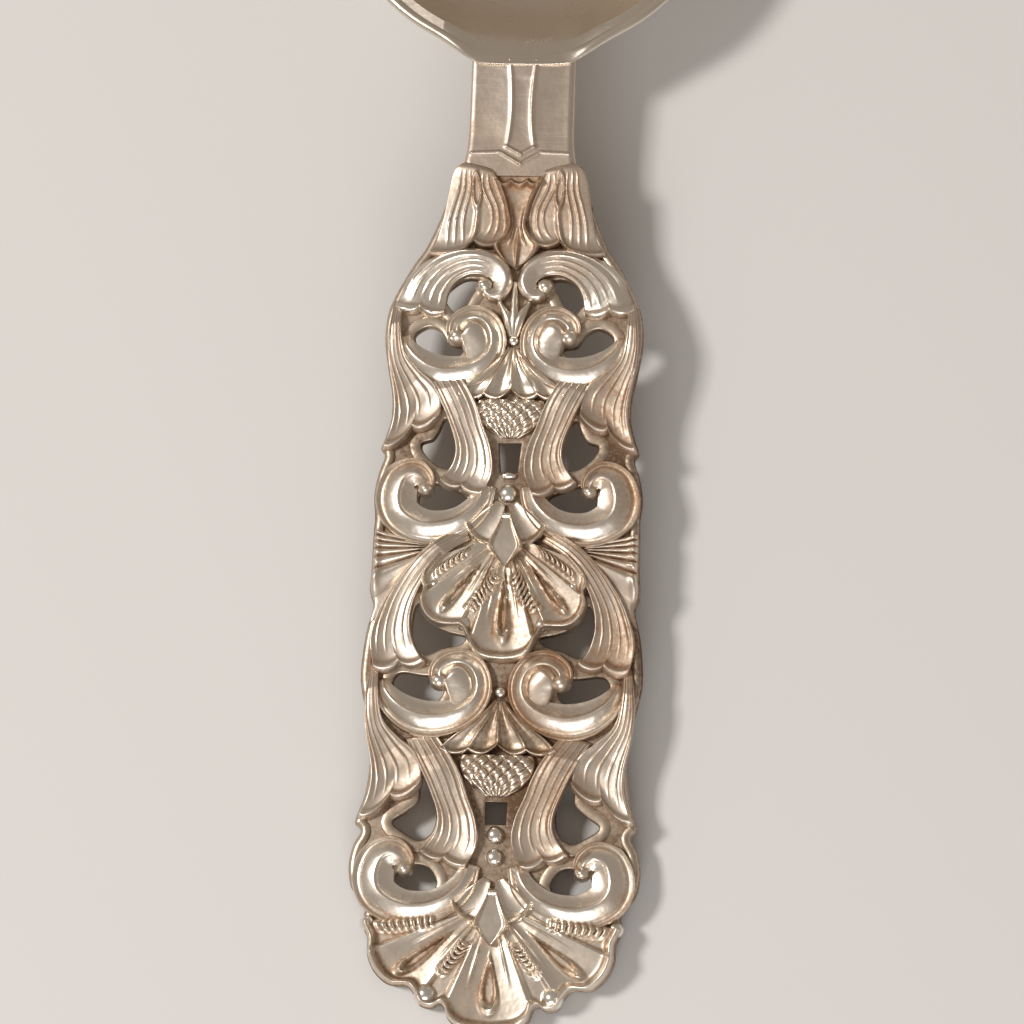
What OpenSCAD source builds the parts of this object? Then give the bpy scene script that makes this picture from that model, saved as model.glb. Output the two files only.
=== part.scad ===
// Sugar spoon in silver with a round bowl, a short strap and a pierced handle.
// The handle is a flat pierced plate that carries applied scrolls, leaves, cones and shells.
// It lies as on a table: on the underside of the bowl and on the tip of the handle.
// +Y runs from the handle's tip to the bowl, +Z is up, and the origin is under the middle.

/* [Handle] */
// Length of the pierced handle from its tip to the strap
handle_len = 77.5; // [60:0.5:95]
// Half of the handle's greatest width
handle_half_w = 12.7; // [10:0.1:16]
// Thickness of the pierced plate
plate_t = 1.2; // [0.8:0.1:2]
// Angle at which the handle rises from its tip towards the bowl
handle_tilt = 4.5; // [3.5:0.1:5.5]

/* [Strap] */
// Length of the plain strap between the handle and the bowl's rim
strap_len = 9.6; // [7:0.1:14]
// Width of the strap
strap_w = 9.4; // [7:0.1:12]
// Thickness of the strap
strap_t = 1.9; // [1.4:0.1:2.6]
// Height of the raised lines on the strap
strap_line_h = 0.25; // [0.1:0.05:0.5]
// Width of the raised lines on the strap
strap_line_w = 0.35; // [0.2:0.05:0.8]

/* [Bowl] */
// Radius of the bowl over its rim, seen from above
bowl_r = 17.7; // [14:0.1:24]
// Height of the bowl from its underside to its rim
bowl_h = 9.4; // [8.8:0.1:12]
// Thickness of the bowl's wall
bowl_t = 1.1; // [0.8:0.1:1.8]
// Radius of the thread that runs round the rim
rim_thread_r = 0.45; // [0.3:0.05:0.7]

/* [Relief] */
// Height of the scrolls above the plate
scroll_h = 1.35; // [0.8:0.05:1.8]
// Height of the leaves above the plate
leaf_h = 1.1; // [0.6:0.05:1.6]
// Height of the shells and cones above the plate
shell_h = 1.45; // [0.8:0.05:1.8]
// Height of the small petals and husks above the plate
petal_h = 0.9; // [0.5:0.05:1.4]
// Radius of the largest beads
bead_r = 1.05; // [0.7:0.05:1.3]

/* [Scrolls] */
// Reach of the closed scrolls from the handle's middle line
closed_scroll_w = 9.5; // [8:0.1:11]
// Height of the closed scrolls along the handle
closed_scroll_l = 5.1; // [4:0.1:6]
// Reach of the open scrolls from the handle's middle line
open_scroll_w = 10; // [8.5:0.1:11.5]
// Height of the open scrolls along the handle
open_scroll_l = 4.1; // [3:0.1:5]
// Half of the scrolls' greatest width
scroll_half_w = 1.15; // [0.8:0.05:1.3]

/* [Hidden] */

$fn = 64;
silver = [0.78, 0.75, 0.71];
dark_silver = [0.66, 0.62, 0.57];
bright_silver = [0.86, 0.84, 0.81];

// The overrun of every cut and the steps between two chosen points of a curve
cut = 1;
curve_steps = 2;

// Where the bowl stands along the spoon
heel_y = (handle_len + strap_len) * cos(handle_tilt);
spoon_len = heel_y + 2 * bowl_r;
bowl_y = heel_y + bowl_r - spoon_len / 2;
ball_r = (bowl_r * bowl_r + bowl_h * bowl_h) / (2 * bowl_h);

// How far below the rim the strap's top lies, which is how deep the heel is dished
strap_top_z = (handle_len + strap_len) * sin(handle_tilt) + strap_t * cos(handle_tilt);
heel_drop = bowl_h - strap_top_z;
heel_half_w = strap_w / 2;
heel_dish_r = (heel_half_w * heel_half_w + heel_drop * heel_drop) / (2 * heel_drop);

// The lower half of the handle repeats the upper half, a little wider
lower_width_share = 1.06;

// Right half of the handle's outline, from the strap to the tip, as shares in hundredths
// of the handle's half width and of its length
outline_shares = [
    [0, 100], [38, 100], [46, 99], [49, 97], [54, 94], [64, 90],
    [72, 88], [79, 86], [85, 84], [89.5, 82], [91, 79], [88, 75.5], [84.5, 72.5],
    [84, 69.7], [87.5, 67.4], [90.3, 66], [87.5, 65.1], [91.5, 63], [93.8, 60.5],
    [92.5, 58], [93, 56], [93.4, 51.7], [93.8, 49.5], [91, 47.7], [93.4, 46],
    [96, 43.6], [97.6, 40], [96, 37.8], [92, 35], [89, 32], [88.6, 29.2],
    [91, 26.3], [94.5, 24.5], [97, 23], [92.7, 22.1], [97.5, 20.5], [100, 18.2],
    [98, 16], [93, 14.7], [87.5, 13.3], [89.5, 11.9], [85, 10.2], [84.5, 8.3],
    [79, 6.4], [69, 5.1], [57, 5], [51, 4], [47, 2.9], [40, 2.6], [34, 3.1],
    [30, 2.6], [27, 1.4], [18, 0.4], [0, 0]
];

// Piercings of the right half, in the same shares, each as a closed curve
piercing_shares = [
    [[25, 85.9], [36, 86.1], [47, 84.8], [49, 83.6], [42, 82.1], [36, 82.7], [31, 84.2]],
    [[35, 77.9], [45, 78.4], [52, 79.9], [61, 80.4], [70, 79.3], [65, 77.8], [55, 76.6], [42, 76.7]],
    [[46, 69.6], [41, 68.6], [36, 66.4], [39, 64.1], [48, 64], [58, 65.2], [62, 66.6], [54, 67.2],
     [50, 68.2]],
    [[29, 60.6], [40, 61.4], [52, 62], [61, 60.9], [61, 59.4], [52, 58.2], [40, 58.3], [31, 59.3]],
    [[57, 48.2], [52, 47], [48, 45.7], [38, 44.9], [26, 44.4], [30, 43.5], [42, 43], [54, 42.3],
     [62, 43.8], [63, 46], [61, 47.7]],
    [[41, 39.7], [55, 39.9], [70, 40.1], [75, 38.9], [68, 37.5], [56, 36.6], [44, 37], [39, 38.4]],
    [[51, 28.5], [45, 27.6], [41, 25], [43, 22.4], [52, 21.3], [62, 22], [71, 23.2], [62, 24.4],
     [54, 25.6], [53, 27.2]],
    [[39, 16.5], [45, 18.2], [56, 18.5], [66, 17.6], [68, 16], [58, 15.1], [46, 15.2]]
];

// The two four-sided piercings on the middle line, each with its upper and lower half width
window_shares = [
    [[8, 66.9], [6, 63.5]],
    [[7.5, 25.8], [7, 23.3]]
];

// Where the pieces sit along the handle, as shares of its length
collar_share = 0.945;
crest_share = 0.859;
first_scroll_share = 0.789;
calyx_share = 0.725;
cone_share = 0.7165;
leaf_share = 0.697;
stalk_share = 0.668;
second_scroll_share = 0.598;
husk_share = 0.554;
shell_share = 0.494;
shoulder_share = 0.448;
third_scroll_share = 0.39;
lower_calyx_share = 0.317;
lower_cone_share = 0.3085;
lower_leaf_share = 0.274;
lower_stalk_share = 0.246;
fourth_scroll_share = 0.166;
lower_husk_share = 0.127;
end_shell_share = 0.072;

// A share of the handle as a place on its plate
function at(share) = [share[0] * handle_half_w, share[1] * handle_len] / 100;

// The curve that runs through four points, between the middle two
function between(a, b, c, d, t) = (
    2 * b + (c - a) * t + (2 * a - 5 * b + 4 * c - d) * t * t
    + (3 * b - a - 3 * c + d) * t * t * t
) / 2;

// A closed curve and an open curve through chosen points
function closed_curve(p, n = curve_steps) = [
    for (i = [0:len(p) - 1], k = [0:n - 1])
        between(p[(i + len(p) - 1) % len(p)], p[i], p[(i + 1) % len(p)], p[(i + 2) % len(p)], k / n)
];
function open_curve(p, n = curve_steps) = concat([
    for (i = [0:len(p) - 2], k = [0:n - 1])
        between(p[max(i - 1, 0)], p[i], p[i + 1], p[min(i + 2, len(p) - 1)], k / n)
], [p[len(p) - 1]]);

// The direction across an open path at one of its points
function across(p, i) =
    let (d = p[min(i + 1, len(p) - 1)] - p[max(i - 1, 0)])
    [-d[1], d[0]] / norm(d);

// The section of a raised piece, as shares of its half width and its height
section_shares = [[-1, 0], [-0.8, 0.62], [-0.3, 0.96], [0.3, 0.96], [0.8, 0.62], [1, 0]];

// A raised piece with a flat back that follows a path of [along x, along y, half width, height]
module raised(path, section = section_shares) {
    rows = open_curve(path);
    places = [for (r = rows) [r[0], r[1]]];
    n = len(rows);
    m = len(section);
    points = [
        for (i = [0:n - 1], s = section)
            let (side = across(places, i) * s[0] * rows[i][2])
            [places[i][0] + side[0], places[i][1] + side[1], plate_t + s[1] * rows[i][3]]
    ];
    sides = [
        for (i = [0:n - 2], j = [0:m - 2], k = [0, 1])
            k == 0 ? [i * m + j, (i + 1) * m + j, (i + 1) * m + j + 1]
                   : [i * m + j, (i + 1) * m + j + 1, i * m + j + 1]
    ];
    backs = [
        for (i = [0:n - 2], k = [0, 1])
            k == 0 ? [i * m + m - 1, (i + 1) * m + m - 1, (i + 1) * m]
                   : [i * m + m - 1, (i + 1) * m, i * m]
    ];
    ends = [[for (j = [0:m - 1]) j], [for (j = [0:m - 1]) n * m - 1 - j]];
    polyhedron(points = points, faces = concat(sides, backs, ends), convexity = 4);
}

// A path from shares of a piece's own width, length, half width and height
function path_of(shares, w, l, half_w, h, y) = [
    for (s = shares) [s[0] * w, y + s[1] * l, s[2] * half_w, s[3] * h]
];

// Puts a piece of the handle in the spoon's frame
module on_handle() {
    translate([0, -spoon_len / 2, 0])
        rotate([handle_tilt, 0, 0])
            children();
}

// A bead that sits on the plate at a place, with its top as a part of a ball
module bead(place, r) {
    translate([place[0], place[1], plate_t])
        difference() {
            sphere(r);
            translate([-r - cut, -r - cut, -r - cut])
                cube([2 * (r + cut), 2 * (r + cut), r + cut]);
        }
}

module bowl() {
    color(bright_silver)
        translate([0, bowl_y, 0])
            difference() {
                union() {
                    difference() {
                        translate([0, 0, ball_r]) sphere(ball_r, $fn = 128);
                        translate([0, 0, ball_r]) sphere(ball_r - bowl_t, $fn = 128);
                        translate([-ball_r - cut, -ball_r - cut, bowl_h])
                            cube([2 * (ball_r + cut), 2 * (ball_r + cut), 2 * ball_r]);
                    }
                    rotate_extrude($fn = 128)
                        translate([bowl_r - rim_thread_r, bowl_h - rim_thread_r])
                            circle(rim_thread_r, $fn = 24);
                }
                translate([0, -bowl_r, bowl_h - heel_drop + heel_dish_r])
                    rotate([90, 0, 0])
                        cylinder(r = heel_dish_r, h = bowl_r, center = true, $fn = 96);
            }
}

// Half width of the strap where it meets the handle, and how deep it reaches under the bowl
strap_flare_share = 1.07;
strap_reach = 1.6 * strap_t;

// A straight raised line on the strap, between two places
module strap_line(from, to) {
    d = to - from;
    side = [-d[1], d[0]] / norm(d) * strap_line_w / 2;
    translate([0, 0, strap_t - strap_line_h])
        linear_extrude(2 * strap_line_h)
            polygon([from + side, from - side, to - side, to + side]);
}

module strap() {
    half = strap_w / 2;
    chevron_y = handle_len + strap_len * 0.1;
    band_y = handle_len + strap_len * 0.2;
    end_y = handle_len + strap_len * 0.94;
    color(silver)
        difference() {
            on_handle() {
                linear_extrude(strap_t)
                    polygon([
                        [-half * strap_flare_share, handle_len], [half * strap_flare_share, handle_len],
                        [half, handle_len + strap_len / 3], [half, handle_len + strap_len + strap_reach],
                        [-half, handle_len + strap_len + strap_reach], [-half, handle_len + strap_len / 3]
                    ]);
                for (side = [-1, 1]) {
                    strap_line([side * half * 0.3, band_y], [side * half * 0.2, end_y]);
                    strap_line([side * half * 0.4, band_y - strap_line_w], [0, chevron_y]);
                    strap_line([side * half * 0.9, chevron_y], [side * half * 0.45, chevron_y]);
                }
            }
            translate([0, bowl_y, ball_r]) sphere(ball_r, $fn = 128);
        }
}

module handle_plate() {
    right = open_curve([for (s = outline_shares) at(s)]);
    left = [for (i = [len(right) - 2:-1:1]) [-right[i][0], right[i][1]]];
    color(dark_silver)
        on_handle()
            linear_extrude(plate_t)
                difference() {
                    polygon(concat(right, left));
                    for (shares = piercing_shares) {
                        hole = closed_curve([for (s = shares) at(s)]);
                        polygon(hole);
                        mirror([1, 0]) polygon(hole);
                    }
                    for (w = window_shares) {
                        top = at(w[0]);
                        low = at(w[1]);
                        polygon([top, low, [-low[0], low[1]], [-top[0], top[1]]]);
                    }
                }
}

// The acanthus leaf of the collar on the right, which hides the joint with the strap
module collar_leaf() {
    w = handle_half_w;
    shares = [[0.29, 0.045, 0.45, 0.6], [0.33, 0.023, 0.8, 0.9], [0.385, 0, 0.95, 1],
              [0.45, -0.023, 0.9, 0.9], [0.53, -0.044, 0.55, 0.5]];
    raised(path_of(shares, w, handle_len, 1.6 * scroll_half_w, leaf_h, collar_share * handle_len));
}

module collar_tongue() {
    shares = [[0, 0.045, 0.9, 0.6], [0, 0.02, 1, 1], [0, -0.015, 0.85, 0.9], [0, -0.04, 0.45, 0.7],
              [0, -0.066, 0.08, 0.3]];
    color(silver)
        on_handle()
            raised(path_of(shares, handle_half_w, handle_len, 1.9 * scroll_half_w, leaf_h,
                           collar_share * handle_len));
}

// The scroll at the handle's crest: a volute at the middle whose band runs out into a leaf
module crest_scroll() {
    shares = [[0.175, -0.008, 0.35, 0.7], [0.115, 0.003, 0.55, 0.9], [0.17, 0.016, 0.65, 1],
              [0.28, 0.0215, 0.7, 1], [0.405, 0.021, 0.75, 1], [0.525, 0.014, 1.1, 1],
              [0.625, 0, 1.45, 0.95], [0.7, -0.019, 1.6, 0.85], [0.725, -0.037, 1.45, 0.5]];
    raised(path_of(shares, handle_half_w, handle_len, scroll_half_w, scroll_h,
                   crest_share * handle_len));
}

// The closed scroll: a C that turns in at the middle line and curls up in a volute
module closed_scroll(share, widening) {
    shares = [[1.02, -0.05, 0.55, 0.6], [0.93, -0.33, 0.8, 0.9], [0.8, -0.51, 0.85, 1],
              [0.64, -0.58, 0.85, 1], [0.5, -0.58, 0.85, 1], [0.36, -0.51, 0.8, 1],
              [0.24, -0.37, 0.75, 1], [0.175, -0.18, 0.7, 1], [0.17, 0.04, 0.65, 1],
              [0.21, 0.25, 0.6, 1], [0.3, 0.4, 0.6, 0.95], [0.41, 0.42, 0.6, 0.95],
              [0.5, 0.33, 0.6, 1], [0.54, 0.16, 0.6, 1], [0.51, 0.04, 0.45, 0.6]];
    raised(path_of(shares, closed_scroll_w * widening, closed_scroll_l, scroll_half_w, scroll_h,
                   share * handle_len));
}

// The open scroll: a C that lies on its back with its curl at the handle's edge
module open_scroll(share, widening) {
    shares = [[0.74, 0.47, 0.45, 0.6], [0.86, 0.49, 0.65, 0.9], [0.96, 0.33, 0.85, 1],
              [1, 0.04, 1, 1], [0.96, -0.23, 1, 1], [0.86, -0.41, 0.9, 1], [0.72, -0.5, 0.8, 1],
              [0.55, -0.46, 0.75, 1], [0.42, -0.35, 0.7, 1], [0.32, -0.17, 0.65, 0.95],
              [0.23, 0.06, 0.6, 0.85], [0.18, 0.33, 0.35, 0.5]];
    raised(path_of(shares, open_scroll_w * widening, open_scroll_l, scroll_half_w, scroll_h,
                   share * handle_len));
}

// Three short prongs over the first scrolls, with a gap between their feet
module crown_sprig() {
    y = 0.817 * handle_len;
    for (lean = [-1, 0, 1])
        color(bright_silver)
            on_handle()
                raised([[0.45 * lean * petal_h, y - petal_h * (1 - 0.6 * abs(lean)), petal_h / 7, petal_h / 2],
                        [0.7 * lean * petal_h, y, petal_h / 4, petal_h],
                        [1.1 * lean * petal_h, y + petal_h, petal_h / 6, petal_h / 3]]);
}

// Half of a fan of four hollow petals across, as shares of its half width and its height
petal_section_shares = [[0, 1], [0.08, 0.75], [0.25, 0.6], [0.42, 0.75], [0.5, 0.95],
                        [0.58, 0.7], [0.75, 0.55], [0.9, 0.75], [0.96, 0.9], [1, 0]];

// The calyx over a cone: a fan of four petals in one casting that opens downwards from its stem
module calyx(share, widening) {
    w = handle_half_w * widening;
    n = len(petal_section_shares);
    left_half = [for (i = [n - 1:-1:1]) [-petal_section_shares[i][0], petal_section_shares[i][1]]];
    shares = [[0, 0.053, 0.03, 0.5], [0, 0.038, 0.075, 0.9], [0, 0.022, 0.17, 1],
              [0, 0.006, 0.3, 1], [0, -0.004, 0.37, 0.8]];
    color(silver)
        on_handle()
            raised(path_of(shares, w, handle_len, w, petal_h, share * handle_len),
                   concat(left_half, petal_section_shares));
}

// The cone hangs under its calyx, as a domed cup that narrows downwards
module pine_cone(share, widening) {
    half_w = 0.24 * handle_half_w * widening;
    length = 0.0425 * handle_len * widening;
    shares = [[0, 0, 0.94, 0.7], [0, -0.2, 1, 1], [0, -0.5, 0.9, 1], [0, -0.78, 0.62, 0.9],
              [0, -1, 0.2, 0.4]];
    color(dark_silver)
        on_handle()
            raised(path_of(shares, half_w, length, half_w, shell_h, share * handle_len));
}

// The leaf that hangs down the handle's edge on the right
module hanging_leaf(share, widening) {
    shares = [[0.64, 0.036, 0.7, 0.5], [0.665, 0.017, 1.05, 0.95], [0.7, 0, 1, 1],
              [0.75, -0.018, 0.75, 0.95], [0.8, -0.035, 0.55, 0.5]];
    raised(path_of(shares, handle_half_w * widening, handle_len, 1.6 * scroll_half_w, leaf_h,
                   share * handle_len));
}

// The fluted stalk that swells beside the cone on the right
module stalk(share, widening) {
    shares = [[0.455, 0.053, 0.2, 0.4], [0.41, 0.041, 0.4, 0.7], [0.34, 0.023, 0.7, 0.9],
              [0.27, 0.003, 0.95, 1], [0.235, -0.017, 1.05, 1], [0.235, -0.034, 1.05, 0.9],
              [0.265, -0.046, 0.7, 0.5]];
    raised(path_of(shares, handle_half_w * widening, handle_len, 1.25 * scroll_half_w, leaf_h,
                   share * handle_len));
}

// The husk: a long drop on the middle line with a petal on each side
module husk(share) {
    y = share * handle_len;
    drop_shares = [[0, 0.028, 0.12, 0.3], [0, 0.01, 0.9, 0.9], [0, -0.003, 1.15, 1],
                   [0, -0.015, 0.7, 0.8], [0, -0.028, 0.12, 0.3]];
    side_shares = [[0.055, 0.042, 0.2, 0.5], [0.125, 0.02, 0.45, 0.9], [0.215, 0.003, 0.6, 0.6]];
    color(bright_silver)
        on_handle() {
            raised(path_of(drop_shares, handle_half_w, handle_len, scroll_half_w, petal_h, y));
            for (side = [-1, 1])
                raised(path_of(side_shares, side * handle_half_w, handle_len, scroll_half_w,
                               petal_h, y));
        }
}

// Directions of the flutes in the side fan, in degrees from straight outwards, and the share
// of the half width at which the fan's eye lies
flute_angles = [11.5, 2, -8, -18, -28];
flute_eye_share = 0.36;

// The fan of flutes at the handle's edge on the right. Its eye hangs under the second scroll,
// and it opens with the half width outwards and with the length along the handle.
module side_flutes() {
    eye = [flute_eye_share * handle_half_w, second_scroll_share * handle_len - open_scroll_l];
    along = 0.164 * handle_len;
    near_share = 0.15;
    far_share = 0.53;
    spread = (flute_angles[0] - flute_angles[1]) * PI / 180;
    for (a = flute_angles) {
        out = [cos(a) * handle_half_w, sin(a) * along];
        raised([for (r = [near_share, (near_share + far_share) / 2, far_share])
            let (place = eye + r * out)
            [place[0], place[1], 0.42 * r * spread * along, r == near_share ? leaf_h / 2 : leaf_h]]);
    }
}

module shoulder_leaf() {
    shares = [[0.585, 0.047, 0.25, 0.4], [0.7, 0.028, 0.6, 0.9], [0.78, 0.004, 0.95, 1],
              [0.8, -0.017, 1, 0.95], [0.775, -0.035, 0.8, 0.5]];
    raised(path_of(shares, handle_half_w, handle_len, 1.7 * scroll_half_w, leaf_h,
                   shoulder_share * handle_len));
}

// A row of short ribs laid across a line, like the strands of a rope
module gadroon(from, to, ribs, half_l) {
    step = (to - from) / ribs;
    side = [-step[1], step[0]] / norm(step);
    for (i = [0:ribs - 1]) {
        middle = from + step * (i + 0.5);
        slant = step * 0.3;
        thick = norm(step) * 0.44;
        a = middle - side * half_l - slant;
        b = middle + side * half_l + slant;
        raised([[a[0], a[1], thick / 2, petal_h / 2], [middle[0], middle[1], thick, petal_h],
                [b[0], b[1], thick / 2, petal_h / 2]]);
    }
}

// The shell at the middle of the handle: a long lobe, two side lobes and four ropes
module middle_shell() {
    y = shell_share * handle_len;
    lobe_shares = [[0, 0.023, 0.3, 0.4], [0, 0, 0.8, 0.9], [0, -0.029, 1.5, 1],
                   [0, -0.048, 2.1, 1], [0, -0.064, 1.8, 0.8], [0, -0.073, 1, 0.4]];
    side_shares = [[0.15, 0.021, 0.25, 0.4], [0.24, 0.008, 0.7, 0.9], [0.34, -0.008, 1.05, 1],
                   [0.405, -0.021, 0.8, 0.5]];
    half_l = 0.45 * scroll_half_w;
    color(silver)
        on_handle() {
            raised(path_of(lobe_shares, handle_half_w, handle_len, scroll_half_w, shell_h, y));
            for (side = [0, 1])
                mirror([side, 0, 0]) {
                    raised(path_of(side_shares, handle_half_w, handle_len, scroll_half_w, shell_h, y));
                    gadroon([0.2 * handle_half_w, y + 0.052 * handle_len],
                            [0.465 * handle_half_w, y + 0.017 * handle_len], 6, half_l);
                    gadroon([0.06 * handle_half_w, y + 0.024 * handle_len],
                            [0.19 * handle_half_w, y - 0.024 * handle_len], 8, half_l);
                }
        }
}

// The shell at the tip: a broad lobe, two side lobes and four ropes
module end_shell() {
    y = end_shell_share * handle_len;
    lobe_shares = [[0, 0.016, 0.4, 0.4], [0, -0.014, 1.2, 0.9], [0, -0.042, 2.3, 1],
                   [0, -0.057, 2.35, 0.85], [0, -0.066, 1.5, 0.4]];
    side_shares = [[0.28, 0.03, 0.35, 0.4], [0.43, 0.014, 1, 0.9], [0.58, -0.002, 1.5, 1],
                   [0.68, -0.01, 1.35, 0.6]];
    half_l = 0.45 * scroll_half_w;
    color(silver)
        on_handle() {
            raised(path_of(lobe_shares, handle_half_w, handle_len, scroll_half_w, shell_h, y));
            for (side = [0, 1])
                mirror([side, 0, 0]) {
                    raised(path_of(side_shares, handle_half_w, handle_len, scroll_half_w, shell_h, y));
                    gadroon([0.36 * handle_half_w, y + 0.052 * handle_len],
                            [0.77 * handle_half_w, y + 0.034 * handle_len], 7, half_l);
                    gadroon([0.15 * handle_half_w, y + 0.03 * handle_len],
                            [0.29 * handle_half_w, y - 0.014 * handle_len], 7, half_l);
                }
        }
}

// Places of the beads as shares of the half width and the length, with the share of the
// largest bead's radius; those off the middle line stand on both sides
bead_shares = [
    [0, 0.789, 0.5], [0, 0.61, 0.8], [0, 0.382, 0.5], [0, 0.221, 0.75], [0, 0.196, 0.75],
    [0.475, 0.502, 0.5], [0.25, 0.459, 0.7], [0.415, 0.042, 1], [0.85, 0.119, 0.6]
];

module beads() {
    color(bright_silver)
        on_handle()
            for (b = bead_shares) {
                place = [b[0] * handle_half_w, b[1] * handle_len];
                bead(place, b[2] * bead_r);
                if (b[0] > 0) bead([-place[0], place[1]], b[2] * bead_r);
            }
}

// One side of a pair: the right as drawn, or its mirror image on the left
module pair_side(left) {
    on_handle()
        mirror([left ? 1 : 0, 0, 0])
            children();
}

bowl();
strap();
handle_plate();
color(silver) pair_side(true) collar_leaf();  // collar_leaf_left
color(silver) pair_side(false) collar_leaf();  // collar_leaf_right
collar_tongue();
color(bright_silver) pair_side(true) crest_scroll();  // crest_scroll_left
color(bright_silver) pair_side(false) crest_scroll();  // crest_scroll_right
color(silver) pair_side(true) closed_scroll(first_scroll_share, 1);  // first_scroll_left
color(silver) pair_side(false) closed_scroll(first_scroll_share, 1);  // first_scroll_right
color(silver) pair_side(true) open_scroll(second_scroll_share, 1);  // second_scroll_left
color(silver) pair_side(false) open_scroll(second_scroll_share, 1);  // second_scroll_right
color(silver) pair_side(true) closed_scroll(third_scroll_share, lower_width_share);  // third_scroll_left
color(silver) pair_side(false) closed_scroll(third_scroll_share, lower_width_share);  // third_scroll_right
color(silver) pair_side(true) open_scroll(fourth_scroll_share, lower_width_share);  // fourth_scroll_left
color(silver) pair_side(false) open_scroll(fourth_scroll_share, lower_width_share);  // fourth_scroll_right
crown_sprig();
calyx(calyx_share, 1);  // upper_calyx
calyx(lower_calyx_share, lower_width_share);  // lower_calyx
pine_cone(cone_share, 1);  // upper_pine_cone
pine_cone(lower_cone_share, lower_width_share);  // lower_pine_cone
color(silver) pair_side(true) hanging_leaf(leaf_share, 1);  // upper_hanging_leaf_left
color(silver) pair_side(false) hanging_leaf(leaf_share, 1);  // upper_hanging_leaf_right
color(silver) pair_side(true) hanging_leaf(lower_leaf_share, lower_width_share);  // lower_hanging_leaf_left
color(silver) pair_side(false) hanging_leaf(lower_leaf_share, lower_width_share);  // lower_hanging_leaf_right
color(silver) pair_side(true) stalk(stalk_share, 1);  // upper_stalk_left
color(silver) pair_side(false) stalk(stalk_share, 1);  // upper_stalk_right
color(silver) pair_side(true) stalk(lower_stalk_share, lower_width_share);  // lower_stalk_left
color(silver) pair_side(false) stalk(lower_stalk_share, lower_width_share);  // lower_stalk_right
husk(husk_share);  // upper_husk
husk(lower_husk_share);  // lower_husk
color(silver) pair_side(true) side_flutes();  // side_flutes_left
color(silver) pair_side(false) side_flutes();  // side_flutes_right
color(silver) pair_side(true) shoulder_leaf();  // shoulder_leaf_left
color(silver) pair_side(false) shoulder_leaf();  // shoulder_leaf_right
middle_shell();
end_shell();
beads();
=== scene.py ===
"""The looks of a silver sugar spoon with a round bowl and a pierced rococo handle.

The spoon lies as on a table. Each ornament is a raised sheet: a section is carried along a path,
or round an eye, on the handle's flat plate, and its height above the plate is a formula of the
place across and the place along. All lengths are in metres.
"""
import math

import bpy
import numpy as np
from mathutils import Matrix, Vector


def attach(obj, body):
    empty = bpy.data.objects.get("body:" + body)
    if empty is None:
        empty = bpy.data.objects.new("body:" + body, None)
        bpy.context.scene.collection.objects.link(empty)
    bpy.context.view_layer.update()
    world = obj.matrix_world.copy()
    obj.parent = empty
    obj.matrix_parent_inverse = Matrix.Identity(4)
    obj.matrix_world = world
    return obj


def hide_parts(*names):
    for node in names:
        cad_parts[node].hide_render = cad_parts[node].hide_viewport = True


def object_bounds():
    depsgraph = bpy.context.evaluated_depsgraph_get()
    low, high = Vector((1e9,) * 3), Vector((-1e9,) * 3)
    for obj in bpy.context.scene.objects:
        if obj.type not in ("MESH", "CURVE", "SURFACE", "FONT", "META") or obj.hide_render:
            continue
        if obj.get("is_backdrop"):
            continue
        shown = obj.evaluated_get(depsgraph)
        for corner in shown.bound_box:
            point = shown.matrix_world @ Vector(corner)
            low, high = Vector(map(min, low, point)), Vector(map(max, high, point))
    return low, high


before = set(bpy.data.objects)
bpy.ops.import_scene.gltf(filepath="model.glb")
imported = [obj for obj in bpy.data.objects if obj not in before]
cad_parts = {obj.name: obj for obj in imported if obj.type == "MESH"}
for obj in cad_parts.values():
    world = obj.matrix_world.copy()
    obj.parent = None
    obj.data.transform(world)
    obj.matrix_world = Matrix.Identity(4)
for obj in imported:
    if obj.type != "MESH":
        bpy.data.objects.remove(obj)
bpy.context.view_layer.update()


# The handle's plate: a flat sheet of silver, sawn to its outline and pierced with a fret saw. Its
# back stays plain, its edges are filed round, a low rail runs along the outline and the curved
# piercings, and every ornament is soldered to its face.
mm = 0.001
handle_len = 77.5 * mm
handle_half_w = 12.7 * mm
plate_t = 1.2 * mm
plate_edge_r = 0.2 * mm
handle_tilt = math.radians(4.5)
strap_len = 9.6 * mm
bowl_r = 17.7 * mm
heel_y = (handle_len + strap_len) * math.cos(handle_tilt)
spoon_len = heel_y + 2 * bowl_r
seat_depth = 0.06 * mm
seat = plate_t - seat_depth
edge_rail = (-0.52 * mm, 0.42 * mm, 0.3 * mm)
piercing_rail = (0.55 * mm, 0.5 * mm, 0.13 * mm)
# The plate's groove value is high over the whole bare plate and darkens it: partly tarnish on the
# ground of the relief, partly painted shade.
plate_tarnish_and_shade, rail_groove = 0.8, 0.3

outline_shares = [
    [0, 100], [38, 100], [46, 99], [49, 97], [54, 94], [64, 90],
    [72, 88], [79, 86], [85, 84], [89.5, 82], [91, 79], [88, 75.5], [84.5, 72.5],
    [84, 69.7], [87.5, 67.4], [90.3, 66], [87.5, 65.1], [91.5, 63], [93.8, 60.5],
    [92.5, 58], [93, 56], [93.4, 51.7], [93.8, 49.5], [91, 47.7], [93.4, 46],
    [96, 43.6], [97.6, 40], [96, 37.8], [92, 35], [89, 32], [88.6, 29.2],
    [91, 26.3], [94.5, 24.5], [97, 23], [92.7, 22.1], [97.5, 20.5], [100, 18.2],
    [98, 16], [93, 14.7], [87.5, 13.3], [89.5, 11.9], [85, 10.2], [84.5, 8.3],
    [79, 6.4], [69, 5.1], [57, 5], [51, 4], [47, 2.9], [40, 2.6], [34, 3.1],
    [30, 2.6], [27, 1.4], [18, 0.4], [0, 0],
]
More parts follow.
